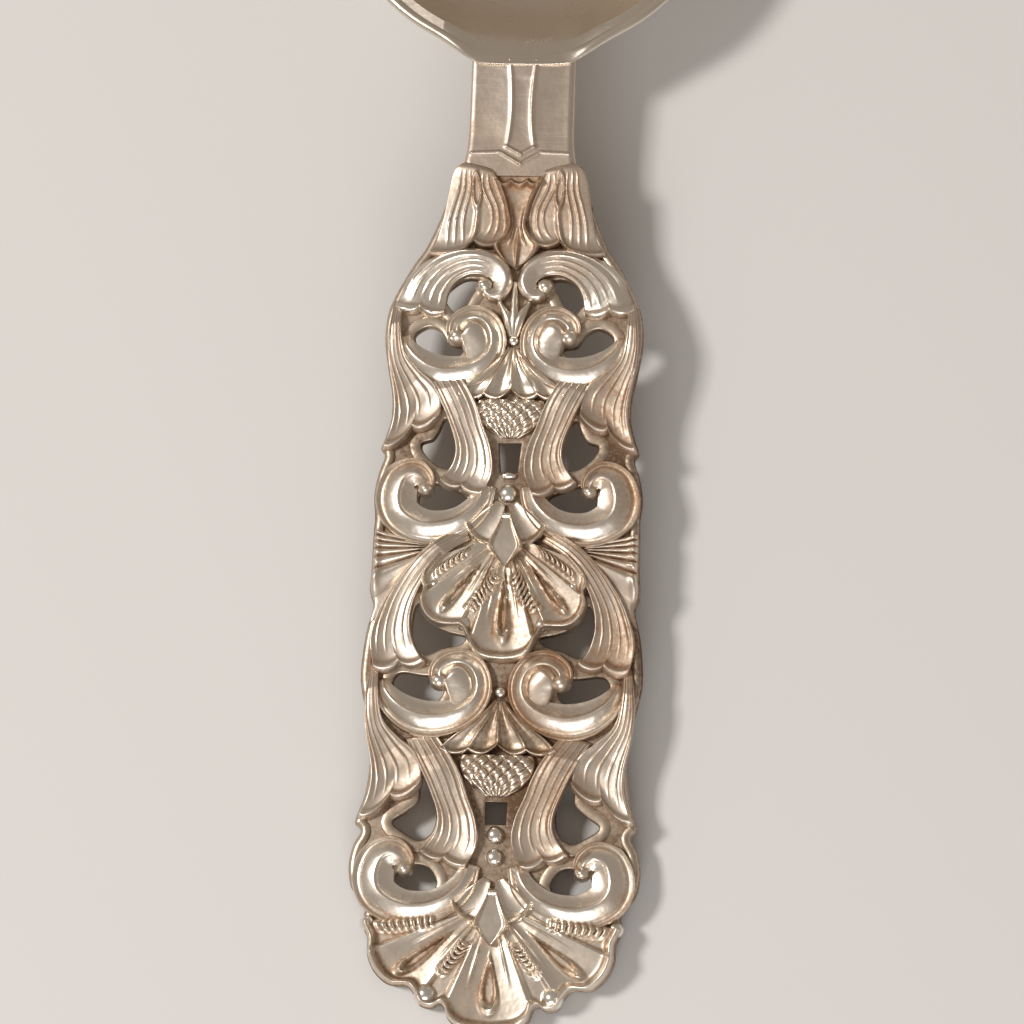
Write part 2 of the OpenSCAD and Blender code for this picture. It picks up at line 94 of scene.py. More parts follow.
piercing_shares = [
    [[25, 85.9], [36, 86.1], [47, 84.8], [49, 83.6], [42, 82.1], [36, 82.7], [31, 84.2]],
    [[35, 77.9], [45, 78.4], [52, 79.9], [61, 80.4], [70, 79.3], [65, 77.8], [55, 76.6],
     [42, 76.7]],
    [[46, 69.6], [41, 68.6], [36, 66.4], [39, 64.1], [48, 64], [58, 65.2], [62, 66.6],
     [54, 67.2], [50, 68.2]],
    [[29, 60.6], [40, 61.4], [52, 62], [61, 60.9], [61, 59.4], [52, 58.2], [40, 58.3],
     [31, 59.3]],
    [[57, 48.2], [52, 47], [48, 45.7], [38, 44.9], [26, 44.4], [30, 43.5], [42, 43],
     [54, 42.3], [62, 43.8], [63, 46], [61, 47.7]],
    [[41, 39.7], [55, 39.9], [70, 40.1], [75, 38.9], [68, 37.5], [56, 36.6], [44, 37],
     [39, 38.4]],
    [[51, 28.5], [45, 27.6], [41, 25], [43, 22.4], [52, 21.3], [62, 22], [71, 23.2],
     [62, 24.4], [54, 25.6], [53, 27.2]],
    [[39, 16.5], [45, 18.2], [56, 18.5], [66, 17.6], [68, 16], [58, 15.1], [46, 15.2]],
]
window_shares = [[[8, 66.9], [6, 63.5]], [[7.5, 25.8], [7, 23.3]]]


def curve_through(points, steps, closed=False):
    """The curve through the points: between two of them a cubic whose slope at each is half the
    step from its one neighbour to the other, sampled at even steps."""
    p = np.asarray(points, float)
    if closed:
        a, b, c, d = np.roll(p, 1, 0), p, np.roll(p, -1, 0), np.roll(p, -2, 0)
    else:
        b, c = p[:-1], p[1:]
        a, d = np.vstack([p[:1], p[:-2]]), np.vstack([p[2:], p[-1:]])
    t = (np.arange(steps) / steps)[None, :, None]
    a, b, c, d = (q[:, None, :] for q in (a, b, c, d))
    out = (2 * b + (c - a) * t + (2 * a - 5 * b + 4 * c - d) * t ** 2
           + (3 * b - a - 3 * c + d) * t ** 3) / 2
    out = out.reshape(-1, p.shape[1])
    return out if closed else np.vstack([out, p[-1:]])


def on_handle(points):
    """Turns places on the level handle into the spoon's frame: a turn about X by the handle's
    tilt, then a shift that brings the middle of the spoon over the origin."""
    x, y, z = np.asarray(points, float).T
    c, s = math.cos(handle_tilt), math.sin(handle_tilt)
    return np.stack([x, y * c - z * s - spoon_len / 2, y * s + z * c], axis=-1)


def at(shares):
    """Shares in hundredths of the half width and the length, as places on the plate."""
    return np.asarray(shares, float) * [handle_half_w / 100, handle_len / 100]


class Tone:
    """One socket of a finish, so that the sums of a finish are written as a formula."""

    def __init__(self, finish, socket):
        self.finish, self.socket = finish, socket

    def sum(self, operation, *others):
        return self.finish.node("ShaderNodeMath", {"operation": operation},
                                dict(enumerate([self, *others])))

    def __add__(self, other):
        return self.sum("ADD", other)

    def __mul__(self, other):
        return self.sum("MULTIPLY", other)

    def __sub__(self, other):
        return self.sum("SUBTRACT", other)

    def __rsub__(self, other):
        return self * -1 + other

    def held(self):
        """The same value, held between 0 and 1."""
        return self.finish.node("ShaderNodeClamp", {}, {"Value": self})

    __radd__ = __add__
    __rmul__ = __mul__


class Finish:
    """A material that is built node by node."""

    def __init__(self, name):
        self.material = bpy.data.materials.new(name)
        self.material.use_nodes = True
        self.tree = self.material.node_tree
        self.tree.nodes.clear()

    def node(self, kind, settings, sockets, output=0):
        """Adds a node, sets its settings, links or sets its sockets and gives one output."""
        made = self.tree.nodes.new(kind)
        for key, value in settings.items():
            setattr(made, key, value)
        for key, value in sockets.items():
            if isinstance(value, Tone):
                self.tree.links.new(value.socket, made.inputs[key])
            else:
                made.inputs[key].default_value = value
        return Tone(self, made.outputs[output]) if made.outputs else None


def silver(name, bright, brown, polish, tarnish, scratch=0.5, dents=0.5):
    """Worn silver: bright where cloths and fingers reach, brown in the grooves, with hairline
    scratches both ways and a faint unevenness from the hammer. The share of brown is the groove
    value under drifting clouds, plus patches and specks, each times the tarnish."""
    f = Finish(name)
    place = f.node("ShaderNodeTexCoord", {}, {}, "Object")
    groove = f.node("ShaderNodeAttribute", {"attribute_name": "groove"}, {}, "Fac")

    def noise(scale, detail, roughness=0.5, vector=place):
        return f.node("ShaderNodeTexNoise", {}, {"Vector": vector, "Scale": scale,
                                                 "Detail": detail, "Roughness": roughness})

    cloud, patch = noise(420.0, 5.0, 0.6), noise(95.0, 3.0, 0.55)
    speck = noise(2600.0, 3.0, 0.7)
    dark = (groove * (cloud * 1.1 + 0.55) * tarnish + (patch - 0.48) * (4.2 * tarnish)
            + (speck - 0.56) * (2.2 * tarnish)).held()
    colour = f.node("ShaderNodeMix", {"data_type": "RGBA"},
                    {"Factor": dark, 6: (*bright, 1), 7: (*brown, 1)}, 2)
    one_way = f.node("ShaderNodeMapping", {}, {"Vector": place, "Rotation": (0, 0, 0.6),
                                               "Scale": (300.0, 9000.0, 3000.0)})
    other_way = f.node("ShaderNodeMapping", {}, {"Vector": place, "Rotation": (0, 0, -0.9),
                                                 "Scale": (260.0, 11000.0, 3000.0)})
    hair_a, hair_b = noise(1.0, 2.0, vector=one_way), noise(1.0, 2.0, vector=other_way)
    hair = ((hair_a - 0.6).held() + (hair_b - 0.6).held()) * 3.0
    rough = (dark * 0.3 + polish + (cloud - 0.5) * 0.16 + hair * (0.12 * scratch)).held()
    wave = noise(700.0, 2.0)
    height = wave * (0.05 * dents) + hair * (-0.003 * scratch) + speck * 0.005
    normal = f.node("ShaderNodeBump", {}, {"Strength": 1.0, "Distance": mm, "Height": height})
    surface = f.node("ShaderNodeBsdfPrincipled", {}, {
        "Base Color": colour, "Metallic": 1.0, "Roughness": rough, "Normal": normal})
    f.node("ShaderNodeOutputMaterial", {}, {"Surface": surface})
    return f.material


def piece(name, parts, finish, left=False):
    """Joins sheets into the mesh of one piece, mirrored for the left side, in place of its solid.
    A sheet is its points, its blocks of faces with equal sides, and its groove values."""
    firsts = np.cumsum([0] + [len(part[0]) for part in parts])
    points = np.vstack([part[0] for part in parts])
    blocks = [block + first for part, first in zip(parts, firsts) for block in part[1]]
    if left:
        points, blocks = points * [-1, 1, 1], [block[:, ::-1] for block in blocks]
    mesh = bpy.data.meshes.new(name)
    mesh.from_pydata(points.tolist(), [], sum((block.tolist() for block in blocks), []))
    groove = np.concatenate([part[2] for part in parts])
    mesh.attributes.new("groove", "FLOAT", "POINT").data.foreach_set("value", groove)
    mesh.shade_smooth()
    mesh.set_sharp_from_angle(angle=math.radians(60))
    mesh.materials.append(finish)
    made = bpy.data.objects.new(name, mesh)
    bpy.context.scene.collection.objects.link(made)
    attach(made, "root")
    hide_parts(name)


def closed_sheet(top, ground=seat, worn=1.0):
    """Closes a grid of points with the same grid laid flat on the ground, joined along the border.
    The groove value is 0.9 times how far a point lies under the mean of its neighbours both ways,
    in shares of the groove's depth, plus 0.6 times the square of how low it lies in its piece."""
    reach, groove_depth = 3, 0.04 * mm
    rows, cols = top.shape[:2]
    turn = rows * cols
    under = top.copy()
    under[..., 2] = ground
    index = np.arange(turn).reshape(rows, cols)
    upper = np.stack([index[:-1, :-1], index[1:, :-1], index[1:, 1:], index[:-1, 1:]], -1)
    upper = upper.reshape(-1, 4)
    ring = np.concatenate([index[0, :-1], index[:-1, -1], index[-1, :0:-1], index[:0:-1, 0]])
    after = np.roll(ring, -1)
    walls = np.stack([ring, after, after + turn, ring + turn], -1)
    along, across = top[1:, :-1] - top[:-1, :-1], top[:-1, 1:] - top[:-1, :-1]
    if np.cross(along, across)[..., 2].sum() < 0:
        upper, walls = upper[:, ::-1], walls[:, ::-1]
    rise = top[..., 2] - ground
    wide = np.pad(rise, reach, mode="edge")
    near = sum(wide[reach:-reach, k:k + cols] + wide[k:k + rows, reach:-reach]
               for k in range(2 * reach + 1)) / (4 * reach + 2)
    low = 1 - rise / rise.max()
    groove = np.clip((near - rise) / groove_depth, 0, 1) * 0.9 + low ** 2 * 0.6
    groove = np.concatenate([groove.ravel() * worn, np.full(turn, worn)])
    points = on_handle(np.vstack([top.reshape(-1, 3), under.reshape(-1, 3)]))
    return points, [np.vstack([upper, upper[:, ::-1] + turn, walls])], groove


def sawn_plate(rim, holes):
    """The pierced outline as a filled flat curve with round edges, made into points and faces."""
    flat = bpy.data.curves.new("plate_outline", "CURVE")
    flat.dimensions, flat.fill_mode = "2D", "BOTH"
    flat.extrude = plate_t / 2 - plate_edge_r
    flat.bevel_depth, flat.bevel_resolution, flat.offset = plate_edge_r, 3, -plate_edge_r
    for loop in [rim, *holes]:
        spline = flat.splines.new("POLY")
        spline.points.add(len(loop) - 1)
        level_and_weight = np.tile([0.0, 1.0], (len(loop), 1))
        spline.points.foreach_set("co", np.hstack([loop, level_and_weight]).ravel())
        spline.use_cyclic_u = True
    carrier = bpy.data.objects.new("plate_outline", flat)
    bpy.context.scene.collection.objects.link(carrier)
    shown = carrier.evaluated_get(bpy.context.evaluated_depsgraph_get())
    mesh = bpy.data.meshes.new_from_object(shown)
    bpy.data.objects.remove(carrier)
    mesh.calc_loop_triangles()
    points, corners = np.empty(len(mesh.vertices) * 3), np.empty(len(mesh.loop_triangles) * 3, int)
    mesh.vertices.foreach_get("co", points)
    mesh.loop_triangles.foreach_get("vertices", corners)
    points = points.reshape(-1, 3) + [0, 0, plate_t / 2]
    return on_handle(points), [corners.reshape(-1, 3)], np.full(len(points), plate_tarnish_and_shade)


def rail(loop, inset, half, height):
    """A low round rail along a closed loop, shifted from it by the inset, outwards where that is
    positive: across it, the angle a stands half * cos(a) outwards and height * sin(a) up."""
    ahead = np.roll(loop, -1, 0) - np.roll(loop, 1, 0)
    if (loop[:, 0] * ahead[:, 1] - loop[:, 1] * ahead[:, 0]).sum() < 0:
        loop, ahead = loop[::-1], -ahead[::-1]
    ahead = ahead / np.linalg.norm(ahead, axis=1, keepdims=True)
    outwards = np.stack([ahead[:, 1], -ahead[:, 0]], -1)
    a = np.linspace(0, np.pi, 9)
    across = np.concatenate([np.cos(a), [-1, 1]]) * half + inset
    rise = np.concatenate([np.sin(a) * height + plate_t, [seat, seat]])
    flat = loop[:, None, :] + outwards[:, None, :] * across[None, :, None]
    points = np.dstack([flat, np.broadcast_to(rise, flat.shape[:2])]).reshape(-1, 3)
    index = np.arange(len(points)).reshape(flat.shape[:2])
    ahead_index, beside = np.roll(index, -1, 0), np.roll(index, -1, 1)
    both = np.roll(ahead_index, -1, 1)
    faces = np.stack([index, ahead_index, both, beside], -1).reshape(-1, 4)
    return on_handle(points), [faces], np.full(len(points), rail_groove)


right_edge = curve_through(at(outline_shares), 6)
edge_loop = np.vstack([right_edge, (right_edge * [-1, 1])[-2:0:-1]])
piercings, windows = [], []
for shares in piercing_shares:
    hole = curve_through(at(shares), 8, closed=True)
    piercings += [hole, hole * [-1, 1]]
for top, low in window_shares:
    (a, b), (c, d) = at([top, low])
    windows.append(np.array([[a, b], [c, d], [-c, d], [-a, b]]))
# The plate's silver is darker and browner than the ornaments'. This is partly tarnish and partly
# painted shade, so that the bare plate between the ornaments reads as shadowed hollows.
plate_silver_tarnish_and_shade = silver("plate silver with tarnish and painted shade", (0.60, 0.50, 0.40), (0.19, 0.12, 0.075), 0.38, 0.7,
                      scratch=0.6, dents=0.8)
piece("handle_plate",
      [sawn_plate(edge_loop, piercings + windows), rail(edge_loop, *edge_rail)]
      + [rail(loop, *piercing_rail) for loop in piercings],
      plate_silver_tarnish_and_shade)


# The collar: three acanthus leaves cast and chased, soldered over the joint of strap and handle.
# Flutes run down each side leaf round a drop-shaped eye, and the middle tongue ends in a heart.
leaf_h = 1.1 * mm


def evenly(points, rows):
    """The columns of the curve through the points, at even steps of its length on the plate."""
    fine = curve_through(points, 12)
    steps = np.linalg.norm(np.diff(fine[:, :2], axis=0), axis=1)
    run = np.concatenate([[0], np.cumsum(steps)])
    places = np.linspace(0, 1, rows) * run[-1]
    return [np.interp(places, run, column)[:, None] for column in fine.T]


def late(t):
    """0 for the first six tenths of the way, then ((t - 0.6) / 0.4) ** 1.5."""
    return np.clip((t - 0.6) / 0.4, 0, 1) ** 1.5


def risen(height, shape):
    """The level over the plate: height * shape, where the shape is held above 0.02 so that the
    sheet keeps a thickness."""
    return plate_t + height * np.maximum(shape, 0.02)


def ridge(place, middle, half):
    """A thin round ridge: 1 at its middle, and exp(-(distance / half) ** 2) beside it."""
    return np.exp(-((place - middle) / half) ** 2)


def veins(s, places, half=0.045):
    """Thin raised lines at the given places across."""
    return sum(ridge(s, place, half) for place in places)


def border(s, t, side=0.1, first=0.05, last=0.03):
    """Rounds a sheet off towards its border: from a quarter of its height, a quarter circle over
    the given shares of the way from each side, the start and the end."""
    round_off = 1
    for away, reach in ((1 - np.abs(s), side), (t, first), (1 - t, last)):
        round_off = round_off * np.sqrt(1 - (1 - np.clip(away / reach, 0, 1)) ** 2)
    return 0.25 + 0.75 * round_off


def between(inner, outer, height, section, rows, cols, end=None):
    """A sheet between two edges, each a list of shares of the handle's half width and length: the
    point at the share s across and t along is (1 - s) / 2 of the inner edge's point at t and
    (1 + s) / 2 of the outer edge's, raised by height * section(s, t). Near its end the sheet is
    pushed towards the tip by the length that end(s) gives."""
    s, t = np.linspace(-1, 1, cols)[None, :], np.linspace(0, 1, rows)[:, None]
    (x_in, y_in), (x_out, y_out) = evenly(at(inner), rows), evenly(at(outer), rows)
    x = ((1 - s) * x_in + (1 + s) * x_out) / 2
    y = ((1 - s) * y_in + (1 + s) * y_out) / 2
    if end:
        y = y - end(s) * late(t)
    return closed_sheet(np.stack([x, y, risen(height, section(s, t))], -1))


def scallops(count, depth, notch=0.0, skew=0.0):
    """Lobes at a leaf's end: depth * |sin(pi * count * (s + 1) / 2)| ** 0.6, less the notch, with
    the lobes drawn towards one side by the skew."""
    def lobes(s):
        place = s + skew * (1 - s ** 2)
        wave = np.abs(np.sin(np.pi * count * (place + 1) / 2))
        return depth * wave ** 0.6 - notch * (1 - s ** 2)
    return lobes


def collar_section(s, t):
    """A swelling shoulder with an eye, thin lines that pass round the eye and part into two lobes,
    and a hollow before the raised lip."""
    drop = np.sqrt(((s + 0.04) / (0.17 - 0.08 * t)) ** 2 + ((t - 0.36) / 0.19) ** 2)
    sway = 0.16 * np.sin(2.6 * np.pi * (t - 0.1)) + 0.12 * t
    bend = s - sway * np.where(s < 0, 1 - s ** 2, -0.55)
    lines = veins(bend, (-0.86, -0.64, -0.44, 0.3, 0.52, 0.72), 0.035) * (drop > 1.1)
    lines = lines * np.clip(4 * (0.93 - t), 0, 1) * np.clip((t - 0.14) * 6, 0, 1)
    shape = 0.7 + 0.28 * np.exp(-((t - 0.1) / 0.14) ** 2) - 0.3 * np.exp(-((t - 0.84) / 0.12) ** 2)
    fold = 0.3 * ridge(s, -0.12 + 0.1 * t, 0.07) * np.clip((t - 0.5) * 4, 0, 1)
    return (shape + 0.12 * lines + 0.22 * ridge(drop, 1, 0.24) + fold
            + 0.4 * ridge(t, 0.975, 0.03) - 0.14 * s ** 2) * border(s, t, 0.05, 0.14)


def tongue_section(s, t):
    """A funnel between raised sides, with a scalloped brow at its start, two folds that close on
    the middle line, and a ridge down the middle of the heart."""
    lobe = np.clip((t - 0.62) / 0.1, 0, 1)
    sides = ridge(np.abs(s), 0.86, 0.09)
    folds = ridge(np.abs(s), 0.55 - 0.3 * t, 0.06) * np.clip((t - 0.3) * 5, 0, 1) * (1 - lobe)
    middle = ridge(s, 0, 0.09) * np.clip((t - 0.5) * 5, 0, 1)
    brow = ridge(t, 0.085 + 0.045 * np.abs(np.sin(1.5 * np.pi * (s + 1))) ** 0.7, 0.02)
    return (0.38 + 0.48 * sides + 0.22 * s ** 2 + 0.2 * folds + 0.35 * middle
            + 0.55 * brow) * border(s, t, 0.05, 0.02)


leaf_silver = silver("leaf silver", (0.72, 0.63, 0.54), (0.42, 0.26, 0.15), 0.4, 0.62,
                     dents=1.0)
collar_inner = [[20, 99.4], [14, 97.8], [10, 96.4], [6.5, 94.2], [5, 92.2], [9, 91]]
collar_outer = [[37, 100.2], [46.5, 98.8], [50.5, 96], [53.5, 93], [58, 90.6], [63.5, 89]]
tongue_edge = [[23, 98.6], [18.5, 97.9], [12.5, 96.2], [8, 94.2], [6, 92.4], [11, 91], [17, 90],
               [11, 88.5], [0.3, 87.2]]
for side in ("left", "right"):
    collar = between(collar_inner, collar_outer, leaf_h, collar_section, 130, 111,
                     scallops(2, 0.85 * mm, 0.2 * mm, 0.2))
    piece("collar_leaf_" + side, [collar], leaf_silver, side == "left")
piece("collar_tongue",
      [between(np.array(tongue_edge) * [-1, 1], tongue_edge, leaf_h, tongue_section, 160, 71)],
      leaf_silver)


# The crest scrolls: two cast volutes at the middle whose bands run out and down as fluted leaves.
# The outer edge of the band is burnished, and the leaf ends in two scallops over a piercing.
scroll_h = 1.35 * mm
scroll_half_w = 1.15 * mm
crest_y = 0.859 * handle_len


def path_of(shares, w, l, half_w, h, y):
    """A path from shares of a piece's own width, length, half width and height."""
    return np.asarray(shares, float) * [w, l, half_w, h] + [0, y, 0, 0]


def raised(path, section, rows, cols, end=None):
    """A sheet along a path of [x, y, half width, height]: the point at the share s across and t
    along is the path's point plus s half widths to its left, raised by height * section(s, t).
    Near its end the sheet is pushed forwards by the length that end(s) gives."""
    s, t = np.linspace(-1, 1, cols)[None, :], np.linspace(0, 1, rows)[:, None]
    x, y, half, height = evenly(path, rows)
    ahead = np.gradient(np.hstack([x, y]), axis=0)
    ahead /= np.linalg.norm(ahead, axis=1, keepdims=True)
    push = end(s) * late(t) if end else 0 * s * t
    return closed_sheet(np.stack([
        x - ahead[:, 1:] * s * half + ahead[:, :1] * push,
        y + ahead[:, :1] * s * half + ahead[:, 1:] * push,
        risen(height, section(s, t))], axis=-1))


def crest_section(s, t):
    """A band that falls off towards both sides, with thin lines that spread over the leaf; the
    leaf sinks along its way and ends in a raised lip."""
    fade = np.clip((t - 0.35) / 0.2, 0, 1) * np.clip((0.92 - t) / 0.12, 0, 1)
    lines = veins(s, (-0.74, -0.36, 0.0, 0.36, 0.72), 0.045) * fade
    outer = 0.5 * np.clip((s - 0.35) / 0.65, 0, 1) ** 2
    inner = 0.35 * np.clip((0.3 - s) / 1.3, 0, 1) ** 1.5
    shape = 1 - outer - inner
    fall = 0.45 * np.clip((t - 0.5) / 0.4, 0, 1)
    return (shape + 0.11 * lines - fall + 0.4 * ridge(t, 0.975, 0.022)) * border(s, t, 0.05, 0.04)


def dome(x, y, half_x, half_y, height, size=25):
    """A round bead over an ellipse: a square grid is drawn onto the disc, and a point at the share
    r of the way out stands at height * sqrt(1 - r ** 2)."""
    s, t = np.meshgrid(np.linspace(-1, 1, size), np.linspace(-1, 1, size))
    a, b = s * np.sqrt(1 - t ** 2 / 2), t * np.sqrt(1 - s ** 2 / 2)
    z = np.sqrt(np.clip(1 - a ** 2 - b ** 2, 0, 1))
    return closed_sheet(np.stack([x + a * half_x, y + b * half_y, plate_t + height * z], -1),
                        worn=0.5)


scroll_silver = silver("scroll silver", (0.84, 0.765, 0.675), (0.47, 0.30, 0.175), 0.33, 0.6,
                       dents=1.6)
crest_shares = [[0.225, -0.006, 0.26, 0.85], [0.18, -0.0165, 0.5, 0.95], [0.115, -0.0155, 0.65, 1],
                [0.085, -0.002, 0.8, 1], [0.13, 0.012, 0.95, 1], [0.236, 0.0205, 1.05, 1],
                [0.37, 0.0205, 1.15, 1], [0.504, 0.0114, 1.4, 1], [0.605, -0.0048, 1.75, 0.95],
                [0.655, -0.0228, 1.95, 0.9], [0.668, -0.037, 2.0, 0.8]]
for side in ("left", "right"):
    crest = raised(path_of(crest_shares, handle_half_w, handle_len, scroll_half_w, scroll_h,
                           crest_y), crest_section, 150, 71, scallops(2, 0.5 * mm))
    eye = dome(0.215 * handle_half_w, crest_y - 0.008 * handle_len, 0.85 * mm, 0.8 * mm,
               1.2 * scroll_h)
    piece("crest_scroll_" + side, [crest, eye], scroll_silver, side == "left")


# The closed scrolls: the first and third pairs, each a C that turns in at the middle line and
# curls up round its own bulb. Cast, soldered on and burnished along the crest.
lower_width_share = 1.06
closed_scroll_w = 9.5 * mm
closed_scroll_l = 5.1 * mm
closed_scroll_shares = [
    [1.04, 0.06, 0.5, 0.5], [1.01, -0.14, 0.8, 0.8], [0.93, -0.35, 1.1, 0.95],
    [0.8, -0.53, 1.35, 1], [0.65, -0.62, 1.45, 1], [0.5, -0.61, 1.4, 1], [0.35, -0.52, 1.25, 1],
    [0.24, -0.36, 1.1, 1], [0.185, -0.16, 1.0, 1], [0.185, 0.06, 1.0, 1], [0.235, 0.26, 1.0, 1],
    [0.325, 0.38, 1.0, 1], [0.43, 0.37, 1.0, 1], [0.52, 0.24, 0.95, 1], [0.53, 0.08, 0.75, 1],
    [0.47, 0.0, 0.4, 0.9]]
bulb_shares = [[0.36, -0.42, 0.5, 0.5], [0.35, -0.22, 0.95, 0.75], [0.36, -0.02, 1.1, 1],
               [0.4, 0.14, 0.95, 1.15], [0.45, 0.24, 0.4, 1.1]]


def scroll_section(s, t):
    """From the inner edge a hollow slope climbs to the crest with its thin line; outside it a
    bright round slope falls to a hollow band, which a second thin line closes."""
    crest = -0.12
    inner = 0.42 + 0.58 * np.clip((s + 1) / (1 + crest), 0, 1) ** 1.8
    outer = 1 - 0.55 * np.clip((s - crest) / 0.7, 0, 1) ** 1.5
    shape = np.where(s < crest, inner, outer) - 0.1 * ridge(s, 0.72, 0.14)
    return (shape + 0.05 * ridge(s, crest - 0.08, 0.04) + 0.1 * ridge(s, 0.92, 0.05)) \
        * border(s, t, 0.05, 0.06, 0.04)


def bulb_section(s, t):
    """A round back that fades out at both ends."""
    return (0.55 + 0.5 * np.sqrt(1 - s ** 2)) * border(s, t, 0.2, 0.1, 0.2)


def closed_scroll(share, widening):
    """The band, the bulb that rises inside its curl, and the bead at its tip."""
    w, y = closed_scroll_w * widening, share * handle_len
    band = raised(path_of(closed_scroll_shares, w, closed_scroll_l, scroll_half_w, scroll_h, y),
                  scroll_section, 180, 51)
    bulb = raised(path_of(bulb_shares, w, closed_scroll_l, scroll_half_w, scroll_h, y),
                  bulb_section, 60, 33)
    tip = dome(0.53 * w, y + 0.04 * closed_scroll_l, 0.9 * mm, 0.85 * mm, 1.12 * scroll_h)
    return [band, bulb, tip]


for pair, share, widening in (("first", 0.789, 1), ("third", 0.39, lower_width_share)):
    for side in ("left", "right"):
        piece(pair + "_scroll_" + side, closed_scroll(share, widening), scroll_silver,
              side == "left")


# The open scrolls: the second and fourth pairs, each a C on its back that carries its curl at
# the handle's edge. Cast, soldered on and burnished.
open_scroll_w = 10 * mm
open_scroll_l = 4.1 * mm
open_scroll_shares = [
    [0.72, 0.2, 0.4, 0.9], [0.735, 0.46, 0.85, 1.05], [0.83, 0.62, 1.2, 1.05],
    [0.94, 0.48, 1.5, 1], [0.985, 0.1, 1.65, 1], [0.95, -0.24, 1.6, 1], [0.84, -0.46, 1.5, 1],
    [0.7, -0.56, 1.4, 1], [0.54, -0.53, 1.3, 1], [0.41, -0.41, 1.2, 1], [0.31, -0.22, 1.1, 0.95],
    [0.23, 0.04, 0.95, 0.85], [0.18, 0.42, 0.7, 0.5]]
for pair, share, widening in (("second", 0.598, 1), ("fourth", 0.166, lower_width_share)):
    w, y = open_scroll_w * widening, share * handle_len
    for side in ("left", "right"):
        band = raised(path_of(open_scroll_shares, w, open_scroll_l, scroll_half_w, scroll_h, y),
                      scroll_section, 160, 51)
        tip = dome(0.725 * w, y + 0.26 * open_scroll_l, 0.75 * mm, 0.7 * mm, 1.15 * scroll_h)
        piece(pair + "_scroll_" + side, [band, tip], scroll_silver,
              side == "left")


# The middle line's small castings: the sprig over the first scrolls, the calyxes of four hollow
# petals, the cones with their diamond scales and the husks, soldered on and left dark in the cuts.
petal_h = 0.9 * mm
shell_h = 1.45 * mm
cone_silver = silver("cone silver", (0.83, 0.745, 0.645), (0.32, 0.21, 0.125), 0.3, 0.66)


def calyx_section(s, t):
    """Four hollow petals parted by thin lines, each with a raised lip at its end."""
    lines = veins(s, (-0.95, -0.48, 0, 0.48, 0.95), 0.035)
    hollow = 0.24 * np.abs(np.cos(2.08 * np.pi * s)) ** 2
    return (0.56 + hollow + 0.2 * lines + 0.55 * ridge(t, 0.965, 0.035)
            - 0.14 * ridge(t, 0.82, 0.1)) * border(s, t, 0.03, 0.05)


def calyx_end(s):
    """Four lobes with a deep notch on the middle line."""
    return mm * (0.5 * np.abs(np.sin(2.08 * np.pi * s)) ** 0.6 - 0.45 * ridge(s, 0, 0.16))


def cone_section(s, t):
    """A dome with rows of diamonds: the product of two slanted waves."""
    scale = np.abs(np.sin(np.pi * (2.6 * s + 3.2 * t)) * np.sin(np.pi * (2.6 * s - 3.2 * t)))
    dome_shape = np.sqrt(np.clip(1 - 0.9 * s ** 2, 0, 1)) \
        * np.sqrt(np.clip(1 - 0.75 * t ** 2, 0, 1))
    return dome_shape * (0.72 + 0.28 * scale ** 0.5) * border(s, t, 0.05, 0.05, 0.05)


def drop_section(s, t):
    """A kite with a thick round rim and a flat field sunk inside it."""
    away = np.minimum(1 - np.abs(s), 2.5 * t) * (1 + 0 * t)
    return 1.1 + 0.4 * ridge(away, 0.17, 0.1) - 0.3 * np.clip((0.08 - away) / 0.08, 0, 1)


def wing_section(s, t):
    """A hollow petal with a line along each side and a thick lip at its end."""
    return (0.45 + 0.3 * s ** 2 + 0.25 * ridge(np.abs(s), 0.9, 0.08)
            + 0.5 * ridge(t, 0.97, 0.04)) * border(s, t, 0.25, 0.08)


sprig_y = 0.817 * handle_len
prongs = []
for lean in (-1, 0, 1):
    rows = [[0.15 * lean * petal_h, sprig_y - 2 * petal_h, 0.4 * petal_h, 0.7 * petal_h],
            [0.6 * lean * petal_h, sprig_y - 0.3 * petal_h, 0.55 * petal_h, 1.1 * petal_h],
            [1.5 * lean * petal_h, sprig_y + (3.4 - 2 * abs(lean)) * petal_h, 0.25 * petal_h,
             0.8 * petal_h]]
    prongs.append(raised(rows, lambda s, t: 0.3 + 0.7 * np.sqrt(1 - s ** 2), 60, 21))
piece("crown_sprig", prongs, cone_silver)

calyx_shares = [[0, 0.056, 0.03, 0.5], [0, 0.043, 0.09, 0.9], [0, 0.026, 0.2, 1],
                [0, 0.01, 0.33, 1], [0, -0.002, 0.4, 0.85]]
cone_shares = [[0, 0.06, 0.94, 0.7], [0, -0.2, 1, 1], [0, -0.5, 0.9, 1], [0, -0.78, 0.62, 0.9],
               [0, -1, 0.25, 0.5]]
for place, share, cone_share, widening in (("upper", 0.725, 0.7165, 1),
                                           ("lower", 0.317, 0.3085, lower_width_share)):
    w = handle_half_w * widening
    piece(place + "_calyx",
          [raised(path_of(calyx_shares, w, handle_len, w, petal_h, share * handle_len),
                  calyx_section, 80, 131, calyx_end)],
          cone_silver)
    piece(place + "_pine_cone",
          [raised(path_of(cone_shares, w, 0.0425 * handle_len * widening, 0.25 * w, shell_h,
                          cone_share * handle_len), cone_section, 110, 111)],
          cone_silver)

drop_shares = [[0, 0.034, 0.3, 0.6], [0, 0.022, 0.55, 0.85], [0, 0.008, 1.0, 1],
               [0, -0.003, 1.4, 1.1], [0, -0.0095, 1.35, 1.1], [0, -0.019, 0.8, 1.1],
               [0, -0.03, 0.04, 1.0]]
wing_shares = [[0.04, 0.045, 0.35, 0.6], [0.1, 0.027, 0.95, 0.95], [0.18, 0.009, 1.3, 1.1]]
for place, share in (("upper", 0.554), ("lower", 0.127)):
    scale = (handle_len, scroll_half_w, petal_h, share * handle_len)
    husk = [raised(path_of(drop_shares, handle_half_w, *scale), drop_section, 90, 45)]
    husk += [raised(path_of(wing_shares, side * handle_half_w, *scale), wing_section, 60, 45,
                    scallops(1, 0.8 * mm)) for side in (-1, 1)]
    piece(place + "_husk", husk, cone_silver)


